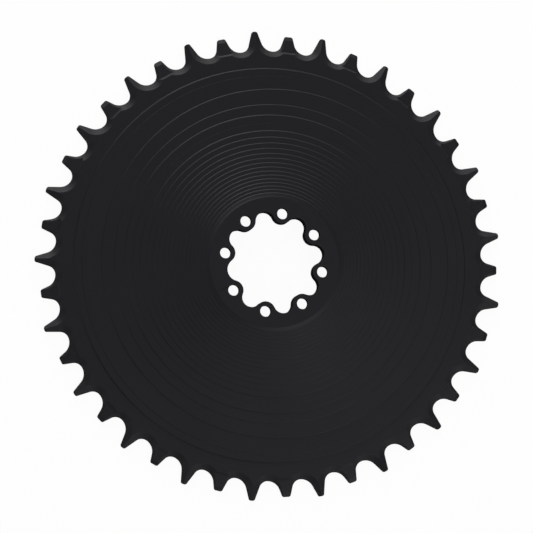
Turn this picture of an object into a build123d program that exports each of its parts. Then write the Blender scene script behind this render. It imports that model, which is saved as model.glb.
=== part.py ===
"""One-piece narrow-wide bicycle chainring with a closed, dished disc and an eight-bolt direct mount.

It is turned and milled from one aluminium plate. The teeth alternate between wide ones, which fill
the gaps between the chain's outer plates, and shorter narrow ones, which fit between its inner plates.
The disc climbs from the rim to the hub in flat milled terraces that follow a shallow arc.

Frame: the origin is the centre of the bolt circle on the hub's front face, where the crank seats.
+Z is the ring's axis and points out of that face. The ring lies on the back of its rim, face up.
The functions count z from the middle plane of the teeth, and the finished ring is moved down at the end.
"""
import os
from collections import namedtuple
from math import atan, cos, degrees, hypot, pi, radians, sin, sqrt, tan

from build123d import *

# Teeth in plan, in millimetres and degrees
chain_pitch = 12.7
tooth_pairs = 21
seat_depth = 4.02  # from the pitch circle down to the bottom of a gullet
wide_tip_height = 3.54  # from the pitch circle up to the tip
narrow_tip_height = 2.02
tip_corner_bevel = 0.35
seat_offset = 0.53  # the gullet's lowest point lies this far to the clockwise side
steep_seat_radius = 3.36
ramp_seat_radius = 4.8
steep_flank_angle = 20.3
ramp_flank_angle = 22.3

# Rim and teeth in section
rim_thickness = 3.6
rim_width = 6.75  # from the bottom of a gullet in to the rim step
gullet_land = 1.2
gullet_chamfer_width = 1.7
narrow_tooth_thickness = 2.0
ledge_inset = 0.85  # from the bottom of a gullet in to the narrow tooth's ledge
ledge_run = 0.7
narrow_tip_land = 0.8
narrow_tip_bevel = 1.5

# Disc: a step inside the rim, then terraces up to the hub
rim_step_height = 0.45
dish_inset = 0.65  # from the rim step in to where the arc of the terraces starts
terrace_count = 20
terrace_height = 0.3
riser_run = 0.32
terrace_lean = 0.064
terrace_lean_direction = 5.0
disc_wall = 2.0

# Back of the disc
rim_back_inset = 2.2
back_floor_width = 17.0

# Hub: bolts on lugs with lobes between them, one lobe shallow as a key
hub_thickness = 4.6
hub_rim = 2.6  # metal outside the bolt seats
bolt_count = 8
bolt_circle_radius = 18.6
bolt_hole_radius = 2.05
bolt_head_radius = 3.0
bolt_seat_thickness = 2.3
lug_wall = 0.69
lobe_overreach = 0.72  # lobes end this far outside the bolt circle
key_shortfall = 0.71  # and the key this far inside it
key_angle = 180.0

# Derived sizes
tooth_angle = 360 / (2 * tooth_pairs)
pitch_radius = chain_pitch / (2 * sin(radians(tooth_angle / 2)))
root_radius = pitch_radius - seat_depth
wide_tip_radius = pitch_radius + wide_tip_height
narrow_tip_radius = pitch_radius + narrow_tip_height
half_rim = rim_thickness / 2
chamfer_depth = half_rim - gullet_land / 2
ledge_radius = root_radius - ledge_inset
rim_step_radius = root_radius - rim_width
rim_back_radius = rim_step_radius - rim_back_inset
dish_radius = rim_step_radius - dish_inset
lug_radius = bolt_head_radius + lug_wall
hub_radius = bolt_circle_radius + lug_radius + hub_rim
bolt_angle = 360 / bolt_count
dish_arc_radius = (dish_radius - hub_radius) ** 2 / (2 * terrace_height * (terrace_count - 0.5))
base_level = half_rim + rim_step_height
seat_level = base_level + terrace_count * terrace_height
hub_back_level = seat_level - hub_thickness
cutter_margin = 1.0

Flank = namedtuple("Flank", "arc_middle arc_end direction")


def polar(radius, angle):
    return Vector(radius * cos(radians(angle)), radius * sin(radians(angle)))


def turned(point, angle):
    return point.rotate(Axis.Z, angle)


def gullet(growth):
    """Lowest point, steep flank and ramped flank of the gullet on the X axis.

    The seat is two arcs that meet at the lowest point: a tight one on the clockwise side and a wide
    one on the other. The flanks are their tangents. Growth moves all of it into the metal.
    """
    flanks = []
    for side, seat_radius, slope in (
        (-1, steep_seat_radius, radians(steep_flank_angle)),
        (1, ramp_seat_radius, radians(ramp_flank_angle)),
    ):
        centre = Vector(root_radius + seat_radius, -seat_offset)
        radius = seat_radius + growth
        half_turn = (pi / 2 - slope) / 2
        arc_middle = centre + Vector(-cos(half_turn), side * sin(half_turn)) * radius
        arc_end = centre + Vector(-sin(slope), side * cos(slope)) * radius
        flanks.append(Flank(arc_middle, arc_end, Vector(cos(slope), side * sin(slope))))
    return Vector(root_radius - growth, -seat_offset), *flanks


def tip_corner(flank, tip_radius):
    """Where a flank meets the circle of the tooth tips."""
    start, way = flank.arc_end, flank.direction
    along = start.X * way.X + start.Y * way.Y
    inside = tip_radius**2 - start.X**2 - start.Y**2
    return start + way * (sqrt(along**2 + inside) - along)


def tooth_pair_plan(core_radius):
    """Plan of a narrow and a wide tooth, from one gullet's lowest point to the next but one's."""
    low, steep, ramp = gullet(0)
    edges = []
    for tooth, tip_radius in enumerate((narrow_tip_radius, wide_tip_radius)):
        rise = tip_corner(ramp, tip_radius)
        fall = turned(tip_corner(steep, tip_radius), tooth_angle)
        outline = [
            ThreePointArc(low, ramp.arc_middle, ramp.arc_end),
            Polyline(ramp.arc_end, rise, fall, turned(steep.arc_end, tooth_angle)),
            ThreePointArc(*(turned(p, tooth_angle) for p in (steep.arc_end, steep.arc_middle, low))),
        ]
        edges += [edge.rotate(Axis.Z, tooth * tooth_angle) for edge in outline]
    inner = Vector(sqrt(core_radius**2 - low.Y**2), low.Y)
    far_low, far_inner = (turned(p, 2 * tooth_angle) for p in (low, inner))
    edges += [Line(far_low, far_inner), Line(inner, low)]
    edges.append(ThreePointArc(far_inner, turned(inner, tooth_angle), inner))
    plan = make_face(edges)
    tip_corners = [v for v in plan.vertices() if hypot(v.X, v.Y) > pitch_radius + narrow_tip_height / 2]
    return chamfer(tip_corners, tip_corner_bevel)


def gullet_chamfer():
    """Cutter for the bevel round the gullet on the X axis, on the front: it narrows as it goes in."""
    widening = gullet_chamfer_width / chamfer_depth
    top = half_rim + cutter_margin
    low, steep, ramp = gullet((top - gullet_land / 2) * widening)
    reach = wide_tip_radius + 3 * gullet_chamfer_width
    steep_top, ramp_top = (
        flank.arc_end + flank.direction * ((reach - flank.arc_end.X) / flank.direction.X)
        for flank in (steep, ramp)
    )
    outline = [
        Line(steep_top, steep.arc_end),
        ThreePointArc(steep.arc_end, steep.arc_middle, low),
        ThreePointArc(low, ramp.arc_middle, ramp.arc_end),
        Polyline(ramp.arc_end, ramp_top, steep_top),
    ]
    section = Pos(0, 0, top) * make_face(outline)
    return extrude(section, top - gullet_land / 4, taper=degrees(atan(widening)))


def narrow_tooth_trim():
    """Cutter that thins the first tooth on both faces, from a ledge at its root to a bevelled tip."""
    half_tooth = narrow_tooth_thickness / 2
    ledge_slope = ledge_run / (half_rim - half_tooth)
    top = half_rim + cutter_margin
    upper = [
        (wide_tip_radius + cutter_margin, top),
        (ledge_radius - cutter_margin * ledge_slope, top),
        (ledge_radius + ledge_run, half_tooth),
        (narrow_tip_radius - narrow_tip_bevel, half_tooth),
        (narrow_tip_radius, narrow_tip_land / 2),
    ]
    lower = [(r, -z) for r, z in reversed(upper)]
    section = Plane.XZ * make_face(Polyline(*upper, *lower, close=True))
    half_gap = root_radius * tan(radians(tooth_angle / 2))
    return extrude(section, half_gap, both=True).rotate(Axis.Z, tooth_angle / 2)


def toothed_rim(core_radius):
    """Tooth pairs side by side: one is bevelled and thinned, then copied round the rim."""
    front = gullet_chamfer()
    back = mirror(front, Plane.XY)
    bevels = [side.rotate(Axis.Z, k * tooth_angle) for side in (front, back) for k in range(3)]
    pair = Pos(0, 0, -half_rim) * extrude(tooth_pair_plan(core_radius), rim_thickness)
    pair = pair - bevels - narrow_tooth_trim()
    return [pair.rotate(Axis.Z, 2 * k * tooth_angle) for k in range(tooth_pairs)]


def step(radius, run, height, level):
    """A round step with a sloped riser: its edge has the radius half-way up."""
    frustum = Cone(radius + run / 2, radius - run / 2, height, align=(Align.CENTER, Align.CENTER, Align.MIN))
    return Pos(0, 0, level) * frustum


def disc_steps():
    """The step inside the rim and the terraces, each standing on the one below.

    A terrace's riser is where the arc has climbed half-way to its level. The blank leaned a little
    when the levels were milled, so each edge lies off the axis, most where the arc is nearly flat.
    """
    steps = [step(rim_step_radius, rim_step_height, rim_step_height, half_rim)]
    for terrace in range(terrace_count):
        from_edge = sqrt(2 * dish_arc_radius * terrace_height * (terrace + 0.5))
        radius = dish_radius - from_edge
        off_axis = tan(radians(terrace_lean)) * radius * dish_arc_radius / from_edge
        place = polar(off_axis, terrace_lean_direction)
        level = base_level + terrace * terrace_height
        steps.append(Pos(place.X, place.Y) * step(radius, riser_run, terrace_height, level))
    return steps


def back_hollow():
    """Space behind the disc: a flat floor inside the rim, then one taper up to the hub's boss."""
    bottom = -half_rim - cutter_margin
    floor = base_level - disc_wall
    under_hub = seat_level - terrace_height / 2 - disc_wall
    outline = Polyline(
        (0, hub_back_level),
        (0, bottom),
        (rim_back_radius, bottom),
        (rim_back_radius, floor),
        (rim_back_radius - back_floor_width, floor),
        (hub_radius, under_hub),
        (hub_radius, hub_back_level),
        close=True,
    )
    return revolve(Plane.XZ * make_face(outline), Axis.Z)


def lobed_bore():
    """Plan of the hub's opening: lugs round the bolts and lobes between them, in tangent arcs."""
    bolt_across = bolt_circle_radius * cos(radians(bolt_angle / 2))
    lobes = []
    for k in range(bolt_count):
        angle = key_angle + k * bolt_angle
        reach = bolt_circle_radius + (lobe_overreach if k else -key_shortfall)
        span = reach + lug_radius
        centre = polar((span**2 - bolt_circle_radius**2) / (2 * (span - bolt_across)), angle)
        bolts = [polar(bolt_circle_radius, angle + side * bolt_angle / 2) for side in (-1, 1)]
        start, end = (bolt + (centre - bolt).normalized() * lug_radius for bolt in bolts)
        lobes.append((start, polar(reach, angle), end))
    edges = [ThreePointArc(*lobe) for lobe in lobes]
    for k in range(bolt_count):
        lug_tip = polar(bolt_circle_radius - lug_radius, key_angle + (k + 0.5) * bolt_angle)
        edges.append(ThreePointArc(lobes[k][2], lug_tip, lobes[(k + 1) % bolt_count][0]))
    return make_face(edges)


def bolt_hole():
    """A bolt's way through the hub: a plain hole in front and a deep seat for its head behind."""
    head_seat_level = seat_level - bolt_seat_thickness
    section = Polyline(
        (0, seat_level),
        (bolt_hole_radius, seat_level),
        (bolt_hole_radius, head_seat_level),
        (bolt_head_radius, head_seat_level),
        (bolt_head_radius, hub_back_level),
        (0, hub_back_level),
        close=True,
    )
    return revolve(Plane.XZ * make_face(section), Axis.Z)


def bolt_holes():
    hole = Pos(bolt_circle_radius, 0, 0) * bolt_hole()
    return [hole.rotate(Axis.Z, key_angle + (k + 0.5) * bolt_angle) for k in range(bolt_count)]


def chainring():
    core_radius = (rim_back_radius + rim_step_radius) / 2
    blank = Cylinder(core_radius, rim_thickness) + toothed_rim(core_radius) + disc_steps()
    opening = Pos(0, 0, hub_back_level) * extrude(lobed_bore(), hub_thickness)
    ring = blank - back_hollow() - opening - bolt_holes()
    return Pos(0, 0, -seat_level) * ring


os.makedirs("parts", exist_ok=True)
export_step(chainring(), "parts/chainring.step")
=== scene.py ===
from math import atan2, cos, pi, radians, sin, sqrt, tan

import bmesh
import bpy
from mathutils import Matrix, Vector


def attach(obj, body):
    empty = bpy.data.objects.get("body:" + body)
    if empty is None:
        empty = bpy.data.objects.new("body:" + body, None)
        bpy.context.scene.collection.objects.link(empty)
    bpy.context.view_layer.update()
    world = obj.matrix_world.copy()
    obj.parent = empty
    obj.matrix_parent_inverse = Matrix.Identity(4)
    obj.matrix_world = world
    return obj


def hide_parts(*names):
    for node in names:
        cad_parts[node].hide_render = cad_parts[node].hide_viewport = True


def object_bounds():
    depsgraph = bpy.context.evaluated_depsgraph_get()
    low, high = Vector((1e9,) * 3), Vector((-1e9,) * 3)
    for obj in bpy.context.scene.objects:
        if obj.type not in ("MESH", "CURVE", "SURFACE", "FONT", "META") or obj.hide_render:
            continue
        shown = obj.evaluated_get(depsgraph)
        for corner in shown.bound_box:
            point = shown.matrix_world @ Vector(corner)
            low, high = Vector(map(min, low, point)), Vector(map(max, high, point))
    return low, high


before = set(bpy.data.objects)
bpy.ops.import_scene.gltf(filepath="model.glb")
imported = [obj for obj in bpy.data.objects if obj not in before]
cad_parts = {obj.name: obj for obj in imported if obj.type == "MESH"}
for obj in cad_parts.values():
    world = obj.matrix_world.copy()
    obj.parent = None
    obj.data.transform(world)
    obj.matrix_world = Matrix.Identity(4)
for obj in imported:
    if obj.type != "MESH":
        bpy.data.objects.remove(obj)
cad_low, cad_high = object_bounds()

# Toothed plate: the ring starts as a flat aluminium plate whose edge is milled to 42 teeth for half-inch
# chain, in 21 like pairs of a narrow tooth and a wide one. Each gullet is a tight arc on its clockwise
# side and a wide arc on the other, so the teeth lean. Levels count from the middle plane of the teeth.
mm = 0.001
chain_pitch = 12.7 * mm
tooth_pairs = 21
tooth_angle = pi / tooth_pairs
pitch_radius = chain_pitch / (2 * sin(tooth_angle / 2))
root_radius = pitch_radius - 4.02 * mm
narrow_tip_radius = pitch_radius + 2.02 * mm
wide_tip_radius = pitch_radius + 3.54 * mm
tip_corner_bevel = 0.35 * mm
seat_offset = 0.53 * mm
seat_radius = {"steep": 3.36 * mm, "ramp": 4.8 * mm}
flank_slope = {"steep": radians(20.3), "ramp": radians(22.3)}
rim_thickness = 3.6 * mm
rim_level = rim_thickness / 2
arc_steps = 10


def turned(point, angle):
    return Matrix.Rotation(angle, 2) @ point


def around(centre, radius, angle):
    return centre + Vector((cos(angle), sin(angle))) * radius


def gullet_arc(flank, growth=0.0):
    """Half of the gullet on the X axis, from its lowest point up to its straight flank, and the flank's way.

    Growth moves it into the metal.
    """
    side = -1 if flank == "steep" else 1
    centre = Vector((root_radius + seat_radius[flank], -seat_offset))
    turn = pi / 2 - flank_slope[flank]
    angles = [pi - side * turn * step / arc_steps for step in range(arc_steps + 1)]
    arc = [around(centre, seat_radius[flank] + growth, angle) for angle in angles]
    return arc, Vector((sin(turn), side * cos(turn)))


def tip_corner(flank, tip_radius):
    """Where a flank meets the circle of the tips, and the point below it where the corner's bevel starts."""
    arc, way = gullet_arc(flank)
    along = arc[-1].dot(way)
    corner = arc[-1] + way * (sqrt(along**2 + tip_radius**2 - arc[-1].length_squared) - along)
    return corner, corner - way * tip_corner_bevel


def pair_outline():
    """The edge of a narrow and a wide tooth, from one gullet's lowest point to the next but one's."""
    outline = []
    for tooth, tip_radius in enumerate((narrow_tip_radius, wide_tip_radius)):
        rise, rise_bevel = tip_corner("ramp", tip_radius)
        fall, fall_bevel = (turned(point, tooth_angle) for point in tip_corner("steep", tip_radius))
        across = (fall - rise).normalized() * tip_corner_bevel
        tip = [rise_bevel, rise + across, fall - across, fall_bevel]
        steep = [turned(point, tooth_angle) for point in reversed(gullet_arc("steep")[0])]
        outline += [turned(point, tooth * tooth_angle) for point in gullet_arc("ramp")[0] + tip + steep[:-1]]
    return outline + [turned(outline[0], 2 * tooth_angle)]


def pattern(name, points, faces=(), edges=()):
    """A shape that a node tree works from. It is taken away once the ring is made."""
    made = bpy.data.objects.new(name, bpy.data.meshes.new(name))
    made.data.from_pydata([Vector(point).to_3d() for point in points], edges, faces)
    bpy.context.scene.collection.objects.link(made)
    return made


outline = pair_outline()
pair_edge = pattern("pair_edge", outline, edges=[(k, k + 1) for k in range(len(outline) - 1)])

# Bevels: a cutter leans into the metal round every gullet, on both faces, down to a narrow land. On the
# wide teeth the bevels of two gullets meet in a ridge.
gullet_land = 1.2 * mm
gullet_bevel = 2.3 * mm
cutter_margin = 1.0 * mm
cutter_start = gullet_land / 4
cutter_top = rim_level + cutter_margin
cutter_reach = wide_tip_radius + 3 * gullet_bevel


def cutter(name, sections):
    """A closed shape through outlines that have the same number of points."""
    count = len(sections[0])
    points = [point for section in sections for point in section]
    faces = [list(range(count)), list(range(len(points) - count, len(points)))]
    for first in range(0, len(points) - count, count):
        for k in range(count):
            after = (k + 1) % count
            faces.append([first + k, first + after, first + count + after, first + count + k])
    made = pattern(name, points, faces)
    shell = bmesh.new()
    shell.from_mesh(made.data)
    bmesh.ops.recalc_face_normals(shell, faces=shell.faces)
    shell.to_mesh(made.data)
    shell.free()
    return made


def bevel_section(level):
    """The bevel cutter at one level: the gullet, wider the further the level is from the middle plane."""
    widening = gullet_bevel / (rim_level - gullet_land / 2)
    growth = (abs(level) - gullet_land / 2) * widening
    section = []
    for flank in ("steep", "ramp"):
        arc, way = gullet_arc(flank, growth)
        arc.append(arc[-1] + way * ((cutter_reach - arc[-1].x) / way.x))
        section = arc[::-1] if flank == "steep" else section + arc[1:]
    return [(point.x, point.y, level) for point in section]


bevel_cutters = [
    cutter(f"{face}_bevel", [bevel_section(side * level) for level in (cutter_start, cutter_top)])
    for face, side in (("front", 1), ("back", -1))
]

# Narrow teeth: they are thinned on both faces to pass between the chain's inner plates, from a sloped
# ledge at the root to a bevelled tip. Their faces taper a little towards it.
narrow_root_half = 1.14 * mm
narrow_shoulder_half = 0.9 * mm
narrow_tip_half = 0.33 * mm
narrow_tip_bevel = 1.5 * mm
ledge_radius = root_radius - 0.85 * mm
ledge_run = 0.7 * mm
ledge_slope = ledge_run / (rim_level - narrow_root_half)
front_edge = [
    (wide_tip_radius + cutter_margin, cutter_top),
    (ledge_radius - cutter_margin * ledge_slope, cutter_top),
    (ledge_radius + ledge_run, narrow_root_half),
    (narrow_tip_radius - narrow_tip_bevel, narrow_shoulder_half),
    (narrow_tip_radius, narrow_tip_half),
]
back_edge = [(radius, -level) for radius, level in reversed(front_edge)]
half_gap = root_radius * tan(tooth_angle / 2)
narrow_trim = cutter(
    "narrow_trim",
    [[(radius, side, level) for radius, level in front_edge + back_edge] for side in (-half_gap, half_gap)],
)
narrow_trim.data.transform(Matrix.Rotation(tooth_angle / 2, 4, "Z"))

# Dish: inside a step at the rim and a faint one the disc climbs to the hub in 20 terraces, cut on a lathe,
# with edges where a shallow arc passes half of each one's height and treads that lean out a little. The
# plate leaned when they were cut, so the edges are off the axis, most where the arc is nearly flat.
terrace_count = 20
terrace_height = 0.3 * mm
terrace_lean = radians(0.064)
terrace_lean_direction = radians(5.0)
riser_run = 0.32 * mm
rim_step_radius = root_radius - 6.75 * mm
rim_step_height = 0.45 * mm
faint_step_radius = 71.3 * mm
faint_step_height = 0.06 * mm
shallow_step = 3
shallow_cut = 0.08 * mm
tread_rise = 0.1 * mm
hub_edge_run = 0.8 * mm
dish_radius = rim_step_radius - 0.65 * mm
bolt_circle_radius = 18.6 * mm
bolt_head_radius = 3.0 * mm
lug_radius = bolt_head_radius + 0.69 * mm
hub_radius = bolt_circle_radius + lug_radius + 2.6 * mm
dish_arc_radius = (dish_radius - hub_radius) ** 2 / (2 * terrace_height * (terrace_count - 0.5))
seat_level = rim_level + rim_step_height + terrace_count * terrace_height
core_radius = 8.0 * mm
ring_segments = 360
weld_gap = 0.002 * mm


def node(tree, kind, inputs=(), **settings):
    """A new node with its settings. Its inputs are plain values, sockets to link, or lists of sockets."""
    made = tree.nodes.new(kind)
    for setting, value in settings.items():
        setattr(made, setting, value)
    for name, value in dict(inputs).items():
        for item in value if isinstance(value, list) else [value]:
            if isinstance(item, bpy.types.NodeSocket):
                tree.links.new(item, made.inputs[name])
            else:
                made.inputs[name].default_value = item
    return made


def new_tree(name, inputs, outputs, family="GeometryNodeTree"):
    """An empty node tree with named inputs and outputs, what its inputs give and what its outputs take."""
    tree = bpy.data.node_groups.new(name, family)
    for in_out, sockets in (("INPUT", inputs), ("OUTPUT", outputs)):
        for label, kind in sockets.items():
            tree.interface.new_socket(label, in_out=in_out, socket_type="NodeSocket" + kind)
    return tree, tree.nodes.new("NodeGroupInput").outputs, tree.nodes.new("NodeGroupOutput").inputs


def grown(tree, name, **sizes):
    """A plain object with the mesh that a tree makes at these sizes."""
    made = pattern(name, [])
    modifier = made.modifiers.new(name, "NODES")
    modifier.node_group = tree
    for socket in tree.interface.items_tree:
        if socket.name in sizes:
            modifier[socket.identifier] = sizes[socket.name]
    ready = made.evaluated_get(bpy.context.evaluated_depsgraph_get())
    made.data = bpy.data.meshes.new_from_object(ready)
    made.modifiers.clear()
    return made


dish_tree, size, result = new_tree(
    "terraced_dish",
    {
        "terraces": "Int",
        "segments": "Int",
        "height": "Float",
        "run": "Float",
        "dish_radius": "Float",
        "arc_radius": "Float",
        "rim_level": "Float",
        "rim_step_radius": "Float",
        "rim_step_height": "Float",
        "faint_step_radius": "Float",
        "faint_step_height": "Float",
        "shallow_step": "Int",
        "shallow_cut": "Float",
        "tread_rise": "Float",
        "hub_edge_run": "Float",
        "lean": "Float",
        "lean_direction": "Float",
        "inner_radius": "Float",
    },
    {"dish": "Geometry"},
)


def sum_up(operation, *values):
    return node(dish_tree, "ShaderNodeMath", enumerate(values), operation=operation).outputs[0]


def plus(*values):
    return sum_up("ADD", *values)


def minus(*values):
    return sum_up("SUBTRACT", *values)


def times(*values):
    return sum_up("MULTIPLY", *values)


def over(*values):
    return sum_up("DIVIDE", *values)


def same(count, other):
    """One where two whole numbers are the same, and nought elsewhere."""
    return sum_up("COMPARE", count, other, 0.1)


def where(test, value, otherwise):
    """One value where the test is above nought, and another elsewhere."""
    switch = {"Switch": sum_up("GREATER_THAN", test, 0.0), "True": value, "False": otherwise}
    return node(dish_tree, "GeometryNodeSwitch", switch, input_type="FLOAT").outputs[0]


# A grid is bent into the dish: its rows are the rings, with two at the bottom, a foot and a top for each
# step from the rim inwards, and two that close it inside the hub's opening.
bottom_rows = 2
rim_steps = 2
closing_rows = 2
rows = plus(times(plus(size["terraces"], rim_steps), 2.0), bottom_rows + closing_rows)
last_row = minus(rows, 1.0)
sheet = node(
    dish_tree,
    "GeometryNodeMeshGrid",
    {
        "Size X": last_row,
        "Size Y": size["segments"],
        "Vertices X": rows,
        "Vertices Y": plus(size["segments"], 1.0),
    },
)
grid_point = node(dish_tree, "GeometryNodeInputPosition").outputs[0]
at = node(dish_tree, "ShaderNodeSeparateXYZ", {0: grid_point}).outputs
row = sum_up("ROUND", plus(at["X"], times(last_row, 0.5)))
column = plus(at["Y"], times(size["segments"], 0.5))
step_row = minus(row, bottom_rows)
step = sum_up("FLOOR", times(step_row, 0.5))
is_top = minus(step_row, times(step, 2.0))
terrace = minus(step, rim_steps)
is_terrace = sum_up("GREATER_THAN", terrace, -0.5)
is_rim = same(step, 0.0)
rim_rise = minus(size["rim_step_height"], size["faint_step_height"])
is_before = same(terrace, minus(size["shallow_step"], 1.0))
is_shallow = same(terrace, size["shallow_step"])
is_after = same(terrace, plus(size["shallow_step"], 1.0))
rise_change = times(minus(plus(is_before, is_after), times(is_shallow, 2.0)), size["shallow_cut"])
foot_change = times(minus(is_shallow, is_after), size["shallow_cut"])
is_first = same(terrace, 0.0)
is_last = same(terrace, minus(size["terraces"], 1.0))
half_tread = times(size["tread_rise"], 0.5)
foot_ease = where(is_first, 0.0, half_tread)
top_ease = where(is_last, 0.0, half_tread)
terrace_rise = minus(plus(size["height"], rise_change), plus(foot_ease, top_ease))
step_height = where(is_terrace, terrace_rise, where(is_rim, rim_rise, size["faint_step_height"]))
even_run = over(times(size["run"], terrace_rise), size["height"])
terrace_run = where(is_last, size["hub_edge_run"], even_run)
step_run = where(is_terrace, terrace_run, step_height)
climbed = times(plus(terrace, 0.5), size["height"])
from_edge = sum_up("SQRT", times(times(size["arc_radius"], 2.0), climbed))
terrace_radius = minus(size["dish_radius"], from_edge)
lean_reach = times(sum_up("TANGENT", size["lean"]), terrace_radius)
terrace_shift = over(times(lean_reach, size["arc_radius"]), from_edge)
base_level = plus(size["rim_level"], size["rim_step_height"])
terrace_foot = plus(plus(base_level, times(terrace, size["height"])), plus(foot_change, foot_ease))
faint_foot = minus(base_level, size["faint_step_height"])
middle_radius = where(is_rim, size["rim_step_radius"], size["faint_step_radius"])
step_radius = plus(where(is_terrace, terrace_radius, middle_radius), times(step_run, minus(0.5, is_top)))
step_foot = where(is_terrace, terrace_foot, where(is_rim, size["rim_level"], faint_foot))
step_level = plus(step_foot, times(step_height, is_top))
hub_level = plus(base_level, times(size["terraces"], size["height"]))
foot_radius = plus(size["rim_step_radius"], times(rim_rise, 0.5))
past_bottom = sum_up("GREATER_THAN", step_row, -0.5)
before_closing = sum_up("LESS_THAN", row, minus(rows, closing_rows + 0.5))
is_step = times(past_bottom, before_closing)
is_foot = same(row, bottom_rows - 1)
is_hub = same(row, minus(rows, closing_rows))
ring_radius = where(is_step, step_radius, where(is_foot, foot_radius, size["inner_radius"]))
ring_level = where(is_step, step_level, where(is_hub, hub_level, 0.0))
ring_shift = where(times(is_step, is_terrace), terrace_shift, 0.0)
turn = times(over(column, size["segments"]), -2 * pi)
place = {"Z": ring_level}
for axis, wave in (("X", "COSINE"), ("Y", "SINE")):
    shift = times(ring_shift, sum_up(wave, size["lean_direction"]))
    place[axis] = plus(times(ring_radius, sum_up(wave, turn)), shift)
bent = node(dish_tree, "ShaderNodeCombineXYZ", place)
dish_skin = node(
    dish_tree, "GeometryNodeSetPosition", {"Geometry": sheet.outputs["Mesh"], "Position": bent.outputs[0]}
)
dish_closed = node(
    dish_tree, "GeometryNodeMergeByDistance", {"Geometry": dish_skin.outputs[0], "Distance": weld_gap}
)
dish_tree.links.new(dish_closed.outputs[0], result["dish"])
dish = grown(
    dish_tree,
    "dish",
    terraces=terrace_count,
    segments=ring_segments,
    height=terrace_height,
    run=riser_run,
    dish_radius=dish_radius,
    arc_radius=dish_arc_radius,
    rim_level=rim_level,
    rim_step_radius=rim_step_radius,
    rim_step_height=rim_step_height,
    faint_step_radius=faint_step_radius,
    faint_step_height=faint_step_height,
    shallow_step=shallow_step,
    shallow_cut=shallow_cut,
    tread_rise=tread_rise,
    hub_edge_run=hub_edge_run,
    lean=terrace_lean,
    lean_direction=terrace_lean_direction,
    inner_radius=core_radius,
)

# Back: behind the terraces the disc is hollowed on the lathe to a nearly even wall, flat inside the rim and
# then one taper up to the hub's boss.
disc_wall = 2.0 * mm
hub_thickness = 4.6 * mm
hub_back_level = seat_level - hub_thickness
hollow_radius = rim_step_radius - 2.2 * mm
hollow_floor = rim_level + rim_step_height - disc_wall
hollow_floor_width = 17.0 * mm


def turned_cutter(name, profile, segments):
    """A round cutter from radii and levels."""
    turns = [2 * pi * k / segments for k in range(segments)]
    return cutter(name, [[(r * cos(a), r * sin(a), level) for a in turns] for r, level in profile])


hollow = turned_cutter(
    "hollow",
    [
        (hollow_radius, -rim_level - cutter_margin),
        (hollow_radius, hollow_floor),
        (hollow_radius - hollow_floor_width, hollow_floor),
        (hub_radius, seat_level - terrace_height / 2 - disc_wall),
        (hub_radius, hub_back_level),
    ],
    ring_segments,
)

# Hub: eight bolts hold it to the crank, each in a lug with a lobe of the opening between it and the next.
# One lobe is shallow, as a key. Behind, every hole widens into a seat for the bolt's head.
bolt_count = 8
bolt_angle = 2 * pi / bolt_count
bolt_hole_radius = 2.05 * mm
bolt_seat_level = seat_level - 2.3 * mm
lobe_reach = bolt_circle_radius + 0.72 * mm
key_reach = bolt_circle_radius - 0.71 * mm
key_angle = pi
lobe_steps = 14
hole_segments = 40


def sweep(centre, radius, first, last, way):
    """Points round a centre from one direction to another, counter-clockwise or (way -1) clockwise."""
    span = (way * (last - first)) % (2 * pi)
    return [around(centre, radius, first + way * span * k / lobe_steps) for k in range(lobe_steps)]


def opening_outline():
    """The edge of the opening: out round a lobe and back in round the next bolt's lug, for every bolt."""
    lobes = []
    for k in range(bolt_count):
        middle = key_angle + k * bolt_angle
        reach = lobe_reach if k else key_reach
        span = reach + lug_radius
        chord = bolt_circle_radius * cos(bolt_angle / 2)
        from_axis = (span**2 - bolt_circle_radius**2) / (2 * (span - chord))
        centre = around(Vector((0, 0)), from_axis, middle)
        bolt_turns = (middle - bolt_angle / 2, middle + bolt_angle / 2)
        bolts = [around(Vector((0, 0)), bolt_circle_radius, bolt_turn) for bolt_turn in bolt_turns]
        directions = [atan2((bolt - centre).y, (bolt - centre).x) for bolt in bolts]
        lobes.append((centre, reach - from_axis, *directions, bolts[1]))
    outline = []
    for k, (centre, radius, first, last, bolt) in enumerate(lobes):
        next_first = lobes[(k + 1) % bolt_count][2]
        outline += sweep(centre, radius, first, last, 1)
        outline += sweep(bolt, lug_radius, last + pi, next_first + pi, -1)
    return outline


opening = cutter(
    "opening",
    [
        [(point.x, point.y, level) for point in opening_outline()]
        for level in (hub_back_level - cutter_margin, seat_level + cutter_margin)
    ],
)
bolt_hole = turned_cutter(
    "bolt_hole",
    [
        (bolt_head_radius, hub_back_level - cutter_margin),
        (bolt_head_radius, bolt_seat_level),
        (bolt_hole_radius, bolt_seat_level),
        (bolt_hole_radius, seat_level + cutter_margin),
    ],
    hole_segments,
)
bolt_hole.data.transform(
    Matrix.Rotation(key_angle + bolt_angle / 2, 4, "Z") @ Matrix.Translation((bolt_circle_radius, 0, 0))
)

# Chainring: all of it is one piece of aluminium. The finished ring is anodised black, which leaves a deep,
# slightly cool black, with a satin sheen over the fine rings of the lathe on the turned faces. The upright
# walls that the mill left are dull.
deep_black = (0.0105, 0.0105, 0.0124, 1)
pale_black = (0.0129, 0.0129, 0.0152, 1)
clouds_per_metre = 45.0
rings_per_metre = 6000.0
grains_per_metre = 9000.0
ring_depth = 0.002 * mm
grain_depth = 0.001 * mm
smoothest = 0.34
roughest = 0.46
coating_ior = 1.5
satin_shine = 0.15
dull_shine = 0.0
upright_slope = 0.3
edge_radius = 0.07 * mm
sharp_edge = radians(16)

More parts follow.
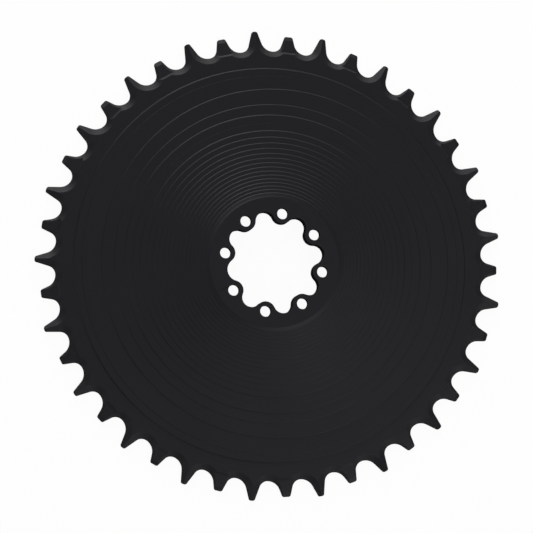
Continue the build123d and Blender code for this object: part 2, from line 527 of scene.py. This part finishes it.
# The anodised skin holds its dye in faint clouds. The rings of the lathe and an etched grain break up its
# sheen.
skin_tree, given, skin = new_tree(
    "anodised_skin",
    {
        "spot": "Vector",
        "deep_black": "Color",
        "pale_black": "Color",
        "ring_depth": "Float",
        "grain_depth": "Float",
    },
    {"dye": "Color", "roughness": "Float", "normal": "Vector"},
    "ShaderNodeTree",
)
flat = node(skin_tree, "ShaderNodeVectorMath", {0: given["spot"], 1: (1, 1, 0)}, operation="MULTIPLY")
from_axis = node(skin_tree, "ShaderNodeVectorMath", {0: flat.outputs[0]}, operation="LENGTH")
cloud_noise = {"Vector": given["spot"], "Scale": clouds_per_metre, "Detail": 3.0}
clouds = node(skin_tree, "ShaderNodeTexNoise", cloud_noise).outputs["Fac"]
blacks = {"Factor": clouds, "A": given["deep_black"], "B": given["pale_black"]}
dye = node(skin_tree, "ShaderNodeMix", blacks, data_type="RGBA")
ring_noise = {"W": from_axis.outputs["Value"], "Scale": rings_per_metre, "Detail": 2.0}
rings = node(skin_tree, "ShaderNodeTexNoise", ring_noise, noise_dimensions="1D").outputs["Fac"]
sheen = node(skin_tree, "ShaderNodeMapRange", {"Value": rings, "To Min": smoothest, "To Max": roughest})
grooves = node(skin_tree, "ShaderNodeBump", {"Height": rings, "Distance": given["ring_depth"]})
grain_noise = {"Vector": given["spot"], "Scale": grains_per_metre, "Detail": 2.0}
grain = node(skin_tree, "ShaderNodeTexNoise", grain_noise).outputs["Fac"]
etching = {"Height": grain, "Distance": given["grain_depth"], "Normal": grooves.outputs[0]}
etched = node(skin_tree, "ShaderNodeBump", etching)
skin_tree.links.new(dye.outputs["Result"], skin["dye"])
skin_tree.links.new(sheen.outputs[0], skin["roughness"])
skin_tree.links.new(etched.outputs[0], skin["normal"])


def black_anodised(name, shine):
    """The anodised skin over faces that a tool left with that much shine."""
    made = bpy.data.materials.new(name)
    made.use_nodes = True
    finish = made.node_tree
    metal = finish.nodes["Principled BSDF"].inputs
    values = {
        "spot": node(finish, "ShaderNodeTexCoord").outputs["Object"],
        "deep_black": deep_black,
        "pale_black": pale_black,
        "ring_depth": ring_depth,
        "grain_depth": grain_depth,
    }
    look = node(finish, "ShaderNodeGroup", values, node_tree=skin_tree).outputs
    for output, socket in (("dye", "Base Color"), ("roughness", "Roughness"), ("normal", "Normal")):
        finish.links.new(look[output], metal[socket])
    metal["IOR"].default_value = coating_ior
    metal["Specular IOR Level"].default_value = shine
    return made


turned_black = black_anodised("turned_black", satin_shine)
milled_black = black_anodised("milled_black", dull_shine)

copies_tree, size, result = new_tree(
    "copies_round_the_axis", {"shape": "Geometry", "count": "Int"}, {"copies": "Geometry"}
)
spots = node(copies_tree, "GeometryNodePoints", {"Count": size["count"]})
order = node(copies_tree, "GeometryNodeInputIndex").outputs[0]
part_turn = node(copies_tree, "ShaderNodeMath", {0: 2 * pi, 1: size["count"]}, operation="DIVIDE")
own_turn = node(copies_tree, "ShaderNodeMath", {0: order, 1: part_turn.outputs[0]}, operation="MULTIPLY")
facing = node(copies_tree, "ShaderNodeCombineXYZ", {"Z": own_turn.outputs[0]})
copies = node(
    copies_tree,
    "GeometryNodeInstanceOnPoints",
    {"Points": spots.outputs[0], "Instance": size["shape"], "Rotation": facing.outputs[0]},
)
loose = node(copies_tree, "GeometryNodeRealizeInstances", {"Geometry": copies.outputs[0]})
copies_tree.links.new(loose.outputs[0], result["copies"])

ring_tree, size, result = new_tree(
    "chainring",
    {"tooth_pairs": "Int", "rim_thickness": "Float", "bolts": "Int", "tooth_plane": "Float"},
    {"ring": "Geometry"},
)


def copies_of(shapes, count, turn=0.0):
    """Copies of pattern shapes round the axis, the first at that turn."""
    sources = [node(ring_tree, "GeometryNodeObjectInfo", {"Object": s}).outputs["Geometry"] for s in shapes]
    joined = node(ring_tree, "GeometryNodeJoinGeometry", {"Geometry": sources})
    first = {"Geometry": joined.outputs[0], "Rotation": (0, 0, turn)}
    group = {"shape": node(ring_tree, "GeometryNodeTransform", first).outputs[0], "count": count}
    return node(ring_tree, "GeometryNodeGroup", group, node_tree=copies_tree).outputs[0]


def welded(*shapes):
    """The shapes joined, with one point wherever two of them meet."""
    joined = node(ring_tree, "GeometryNodeJoinGeometry", {"Geometry": list(shapes)})
    seams = {"Geometry": joined.outputs[0], "Distance": weld_gap}
    return node(ring_tree, "GeometryNodeMergeByDistance", seams).outputs[0]


def cut(body, tool):
    """A body with a tool's shape taken out of it."""
    shapes = {"Mesh 1": body, "Mesh 2": tool}
    return node(
        ring_tree, "GeometryNodeMeshBoolean", shapes, operation="DIFFERENCE", solver="MANIFOLD"
    ).outputs[0]


whole_edge = welded(copies_of([pair_edge], size["tooth_pairs"]))
edge_loop = node(ring_tree, "GeometryNodeMeshToCurve", {"Mesh": whole_edge})
plan = node(ring_tree, "GeometryNodeFillCurve", {"Curve": edge_loop.outputs[0]}, mode="NGONS").outputs[0]
raised = node(
    ring_tree,
    "GeometryNodeExtrudeMesh",
    {"Mesh": plan, "Offset Scale": size["rim_thickness"], "Individual": False},
)
underside = node(ring_tree, "GeometryNodeFlipFaces", {"Mesh": plan})
half_down = node(ring_tree, "ShaderNodeMath", {0: size["rim_thickness"], 1: -0.5}, operation="MULTIPLY")
down = node(ring_tree, "ShaderNodeCombineXYZ", {"Z": half_down.outputs[0]})
plate = node(
    ring_tree,
    "GeometryNodeTransform",
    {"Geometry": welded(raised.outputs[0], underside.outputs[0]), "Translation": down.outputs[0]},
)
toothed = plate.outputs[0]
for turn in (0.0, tooth_angle):
    toothed = cut(toothed, copies_of(bevel_cutters, size["tooth_pairs"], turn))
toothed = cut(toothed, copies_of([narrow_trim], size["tooth_pairs"]))
dished = node(
    ring_tree,
    "GeometryNodeMeshBoolean",
    {"Mesh 2": [toothed, copies_of([dish], 1)]},
    operation="UNION",
    solver="MANIFOLD",
).outputs[0]
for tool, count in ((hollow, 1), (opening, 1), (bolt_hole, size["bolts"])):
    dished = cut(dished, copies_of([tool], count))
lowered = node(ring_tree, "ShaderNodeCombineXYZ", {"Z": size["tooth_plane"]})
lying = node(
    ring_tree, "GeometryNodeTransform", {"Geometry": welded(dished), "Translation": lowered.outputs[0]}
)
whole = node(ring_tree, "GeometryNodeRealizeInstances", {"Geometry": lying.outputs[0]})
smooth = node(ring_tree, "GeometryNodeSetShadeSmooth", {"Geometry": whole.outputs[0]})
face_normal = node(ring_tree, "GeometryNodeInputNormal").outputs[0]
upward = node(ring_tree, "ShaderNodeSeparateXYZ", {0: face_normal}).outputs["Z"]
either_way = node(ring_tree, "ShaderNodeMath", {0: upward}, operation="ABSOLUTE").outputs[0]
is_wall = node(
    ring_tree, "FunctionNodeCompare", {"A": either_way, "B": upright_slope}, operation="LESS_THAN"
)
dyed = node(
    ring_tree, "GeometryNodeSetMaterial", {"Geometry": smooth.outputs[0], "Material": turned_black}
)
finished = node(
    ring_tree,
    "GeometryNodeSetMaterial",
    {"Geometry": dyed.outputs[0], "Selection": is_wall.outputs[0], "Material": milled_black},
)
ring_tree.links.new(finished.outputs[0], result["ring"])

tooth_plane = cad_low.z + rim_level
ring = grown(
    ring_tree,
    "ring",
    tooth_pairs=tooth_pairs,
    rim_thickness=rim_thickness,
    bolts=bolt_count,
    tooth_plane=tooth_plane,
)
for shape in (pair_edge, *bevel_cutters, narrow_trim, dish, hollow, opening, bolt_hole):
    bpy.data.objects.remove(shape)

# The tumbled edges are rounded a little.
edge_round = ring.modifiers.new("edge_round", "BEVEL")
edge_round.width = edge_radius
edge_round.segments = 2
edge_round.limit_method = "ANGLE"
edge_round.angle_limit = sharp_edge
edge_round.use_clamp_overlap = False
edge_round.harden_normals = True
ready = ring.evaluated_get(bpy.context.evaluated_depsgraph_get())
ring.data = bpy.data.meshes.new_from_object(ready)
ring.modifiers.clear()
# The cuts leave an empty slot before the two blacks.
ring.data.materials.pop(index=0)

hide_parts("chainring")
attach(ring, "root")

# Floor: a sheet of matt white card that the ring lies on, back of the rim down. What looks at it, straight
# or in a reflection, sees it nearly evenly white, and it keeps a trace of the ring's shadow.
floor_size = 4.0
floor_gap = 0.02 * mm
white_share = 0.95
card_white = (0.9, 0.9, 0.9, 1)
card_roughness = 0.9
bpy.ops.mesh.primitive_plane_add(size=floor_size, location=(0, 0, cad_low.z - floor_gap))
floor = bpy.context.object
floor.name = "floor"
card = bpy.data.materials.new("white_card")
card.use_nodes = True
card_finish = card.node_tree
matt = card_finish.nodes["Principled BSDF"]
matt.inputs["Base Color"].default_value = card_white
matt.inputs["Roughness"].default_value = card_roughness
matt.inputs["Specular IOR Level"].default_value = 0.0
white = node(card_finish, "ShaderNodeEmission")
seen = node(card_finish, "ShaderNodeLightPath").outputs
looks = {0: seen["Is Camera Ray"], 1: seen["Is Glossy Ray"]}
any_look = node(card_finish, "ShaderNodeMath", looks, operation="ADD", use_clamp=True)
looks = {0: any_look.outputs[0], 1: seen["Is Transmission Ray"]}
every_look = node(card_finish, "ShaderNodeMath", looks, operation="ADD", use_clamp=True)
looks = {0: every_look.outputs[0], 1: white_share}
share = node(card_finish, "ShaderNodeMath", looks, operation="MULTIPLY")
blend = node(
    card_finish,
    "ShaderNodeMixShader",
    {"Fac": share.outputs[0], 1: matt.outputs["BSDF"], 2: white.outputs["Emission"]},
)
card_finish.links.new(blend.outputs["Shader"], card_finish.nodes["Material Output"].inputs["Surface"])
floor.data.materials.append(card)

# Camera: a long lens a metre and a fifth above the ring. It is leaned twelve degrees off the ring's axis and
# turned so that the shallow lobe of the hub lies at the left, a little low.
lens_distance = 1.2
lens_length = 216.39
sensor_width = 36.0
picture_turn = radians(11.396)
lean_down = radians(-6.520)
lean_right = radians(10.030)
off_centre = (1.445 * mm, 0.626 * mm)
to_camera = (
    Matrix.Translation((off_centre[0], off_centre[1], -lens_distance))
    @ Matrix.Rotation(lean_right, 4, "Y")
    @ Matrix.Rotation(lean_down, 4, "X")
    @ Matrix.Rotation(picture_turn, 4, "Z")
    @ Matrix.Translation((0, 0, -tooth_plane))
)
camera = bpy.data.objects.new("camera", bpy.data.cameras.new("camera"))
bpy.context.scene.collection.objects.link(camera)
camera.data.sensor_width = sensor_width
camera.data.lens = lens_length
camera.matrix_world = to_camera.inverted()
bpy.context.scene.camera = camera

# Light: soft boxes in a nearly dark room. The strong ones stand at the top of the picture, so that the
# terraces' edges shine there. The others lift the other sides a little, and one overhead gives the treads
# their sheen.
room_glow = 0.06
box_width = 0.6
box_distance = 1.2
world = bpy.data.worlds.new("studio")
bpy.context.scene.world = world
world.use_nodes = True
room = world.node_tree.nodes["Background"].inputs
room["Color"].default_value = (1, 1, 1, 1)
room["Strength"].default_value = room_glow


def soft_box(name, picture_angle, elevation, watts):
    """A square lamp at that angle in the picture, counted from its right, aimed at the ring."""
    bearing = Matrix.Rotation(radians(picture_angle) - picture_turn, 4, "Z")
    rise = Matrix.Rotation(radians(-elevation), 4, "Y")
    place = (bearing @ rise) @ Vector((box_distance, 0, 0))
    lamp = bpy.data.objects.new(name, bpy.data.lights.new(name, "AREA"))
    lamp.data.size = box_width
    lamp.data.energy = watts
    lamp.location = place
    lamp.rotation_euler = place.to_track_quat("Z", "Y").to_euler()
    bpy.context.scene.collection.objects.link(lamp)


soft_box("top_right_box", 67, 12, 3.4)
soft_box("top_box", 94, 12, 6.2)
soft_box("top_left_box", 117, 12, 2.4)
soft_box("high_top_box", 103, 44, 5.0)
soft_box("left_box", 185, 15, 1.2)
soft_box("high_left_box", 200, 45, 1.0)
soft_box("lower_left_box", 240, 14, 1.0)
soft_box("low_bottom_box", 266, 27, 1.0)
soft_box("bottom_box", 300, 9, 1.4)
soft_box("bottom_right_box", 316, 20, 0.9)
soft_box("lower_right_box", 305, 51, 3.0)
soft_box("low_right_box", 345, 8, 1.1)
soft_box("overhead_box", 330, 68, 1.8)

# Picture: colours reach the picture as they are.
bpy.context.scene.view_settings.view_transform = "Standard"
